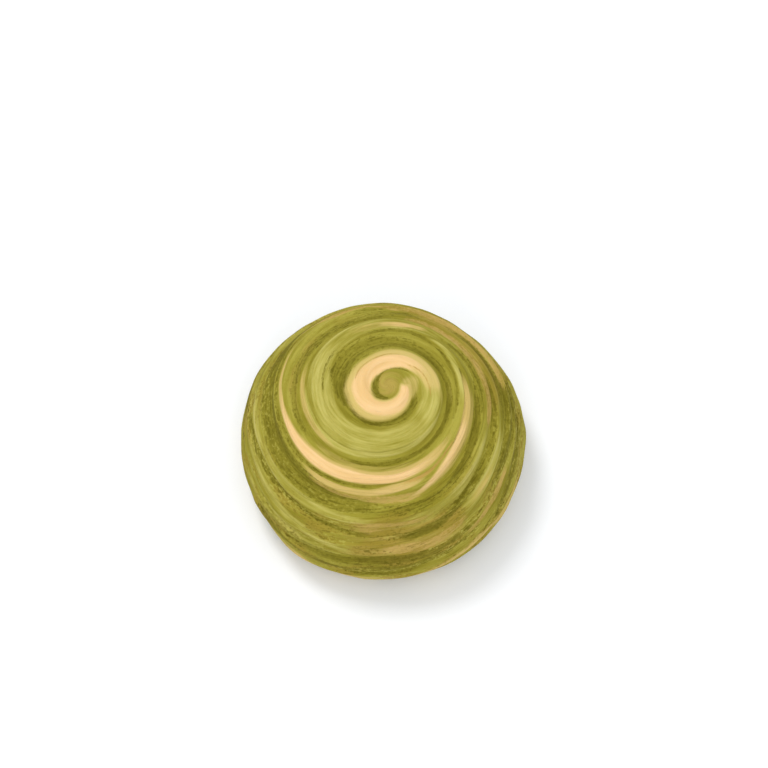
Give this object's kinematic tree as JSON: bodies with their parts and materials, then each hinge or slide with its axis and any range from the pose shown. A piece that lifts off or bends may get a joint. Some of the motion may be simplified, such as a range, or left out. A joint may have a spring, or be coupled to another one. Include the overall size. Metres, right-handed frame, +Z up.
{
  "type": "red bean pastry",
  "caption": "Round domed bun of green and cream laminated dough, its folds wound in one spiral from the crown down to a flat base.",
  "frame": {"origin": "middle of the flat base, on the surface the pastry rests on", "axes": "+Z up through the crown; -Y is the side nearest the viewer, +X is on its right"},
  "size_m": [0.0621, 0.0617, 0.0339],
  "materials": {
    "swirl_dough": "matt baked laminated dough, green with cream and yellow-green bands along the swirl"
  },
  "bodies": {
    "root": {"pastry": "swirl_dough"}
  },
  "joints": []
}
